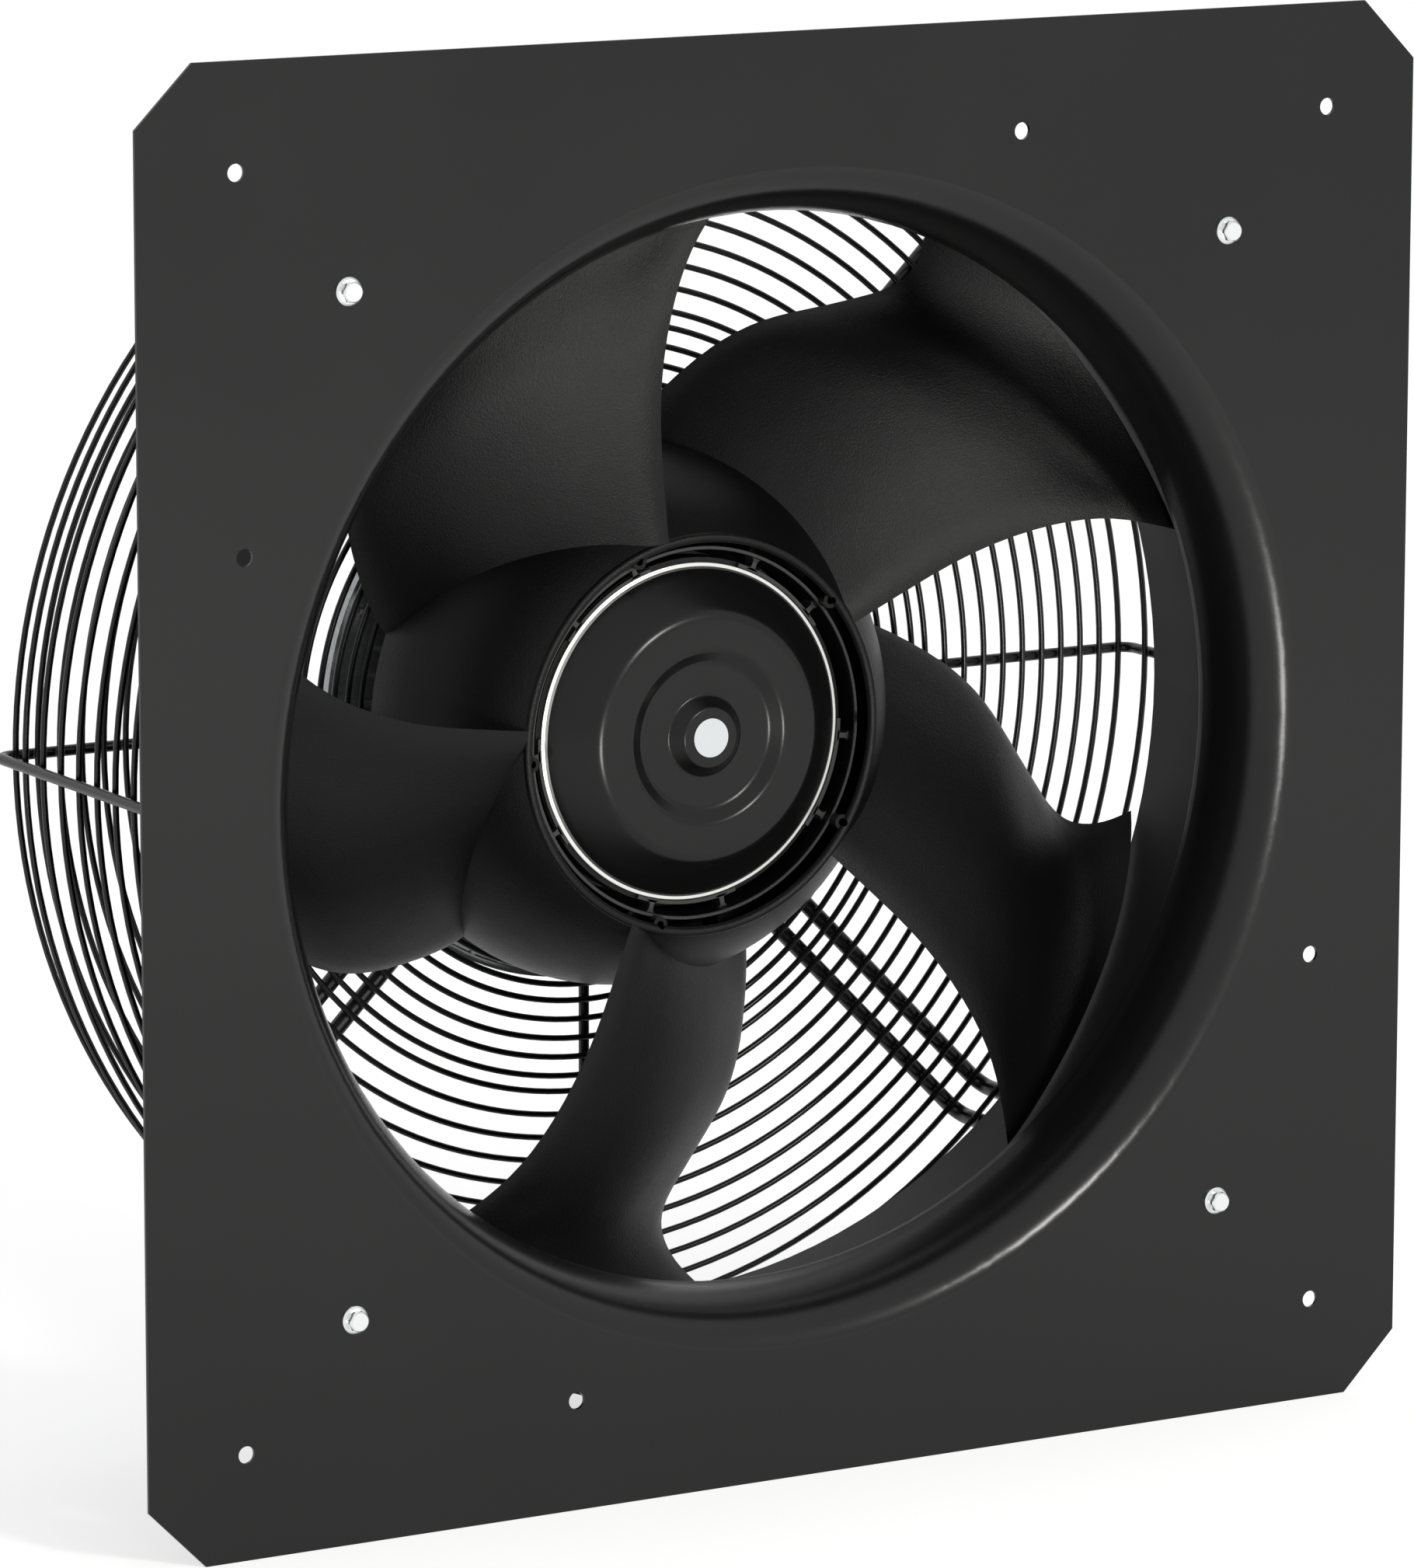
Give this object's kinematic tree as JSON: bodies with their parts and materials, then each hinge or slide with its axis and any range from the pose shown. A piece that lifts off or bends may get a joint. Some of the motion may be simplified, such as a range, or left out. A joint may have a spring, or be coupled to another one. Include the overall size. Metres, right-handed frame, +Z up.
{
  "type": "axial wall fan",
  "caption": "Axial fan on a square wall plate with a drawn nozzle, swept-blade impeller on an external rotor motor, and a wire guard that carries the motor.",
  "frame": {"origin": "on the fan axis, in the front face of the wall plate, at the centre of the four corner holes", "axes": "+Y along the fan axis from the plate's front face to the motor electronics, +Z up, +X to the right seen from the front"},
  "size_m": [0.585, 0.2289, 0.585],
  "materials": {
    "plate_powder_coat": "satin black powder coat",
    "guard_powder_coat": "gloss black powder coat on wire",
    "impeller_plastic": "fine-grained matte black moulding",
    "rotor_paint": "satin black on the face, bare metal side",
    "ferrite": "matte dark grey",
    "bright_steel": "ground",
    "spring_steel": "oiled",
    "bearing_steel": "ground and polished",
    "lamination_steel": "stacked sheet",
    "insulator_plastic": "moulded",
    "enamelled_copper": "enamelled wire",
    "die_cast_aluminium": "as cast",
    "cover_plastic": "matte black",
    "board_laminate": "green laminate",
    "zinc_plated_steel": "bright zinc",
    "seal_rubber": "matte",
    "gland_plastic": "black nylon"
  },
  "bodies": {
    "fan_frame": {"wall_plate": "plate_powder_coat", "guard_outer_rings": "guard_powder_coat", "guard_middle_rings": "guard_powder_coat", "guard_inner_rings": "guard_powder_coat", "guard_side_rings": "guard_powder_coat", "guard_strut_wires": "guard_powder_coat", "motor_support_rods": "guard_powder_coat", "support_feet": "guard_powder_coat", "motor_mounting_ring": "guard_powder_coat", "preload_wave_washer": "spring_steel", "front_bearing_outer_ring": "bearing_steel", "rear_bearing_outer_ring": "bearing_steel", "stator_core": "lamination_steel", "stator_insulators": "insulator_plastic", "stator_windings": "enamelled_copper", "motor_flange": "die_cast_aluminium", "electronics_housing": "die_cast_aluminium", "electronics_cover": "cover_plastic", "circuit_board": "board_laminate", "guard_bolts": "zinc_plated_steel", "guard_nuts": "zinc_plated_steel", "cover_screws": "zinc_plated_steel", "motor_screws": "zinc_plated_steel", "cover_gasket": "seal_rubber", "cable_gland_seal": "seal_rubber", "cable_gland_body": "gland_plastic", "cable_gland_nut": "gland_plastic"},
    "rotor": {"impeller": "impeller_plastic", "rotor_shell": "rotor_paint", "rotor_magnets": "ferrite", "shaft": "bright_steel", "retaining_ring": "spring_steel", "front_bearing_inner_ring": "bearing_steel", "rear_bearing_inner_ring": "bearing_steel"},
    "front_cage": {"front_bearing_cage": "bearing_steel"},
    "rear_cage": {"rear_bearing_cage": "bearing_steel"}
  },
  "joints": [
    {"name": "impeller_spin", "type": "hinge", "parent": "fan_frame", "child": "rotor", "pos_m": [0, 0, 0], "axis": [0, 1, 0], "continuous": true},
    {"name": "front_cage_spin", "type": "hinge", "parent": "fan_frame", "child": "front_cage", "pos_m": [0, 0, 0], "axis": [0, 1, 0], "continuous": true},
    {"name": "rear_cage_spin", "type": "hinge", "parent": "fan_frame", "child": "rear_cage", "pos_m": [0, 0, 0], "axis": [0, 1, 0], "continuous": true}
  ],
  "couplings": [
    {"joint": "front_cage_spin", "follows": "impeller_spin", "ratio": 0.3455},
    {"joint": "rear_cage_spin", "follows": "impeller_spin", "ratio": 0.3455}
  ]
}
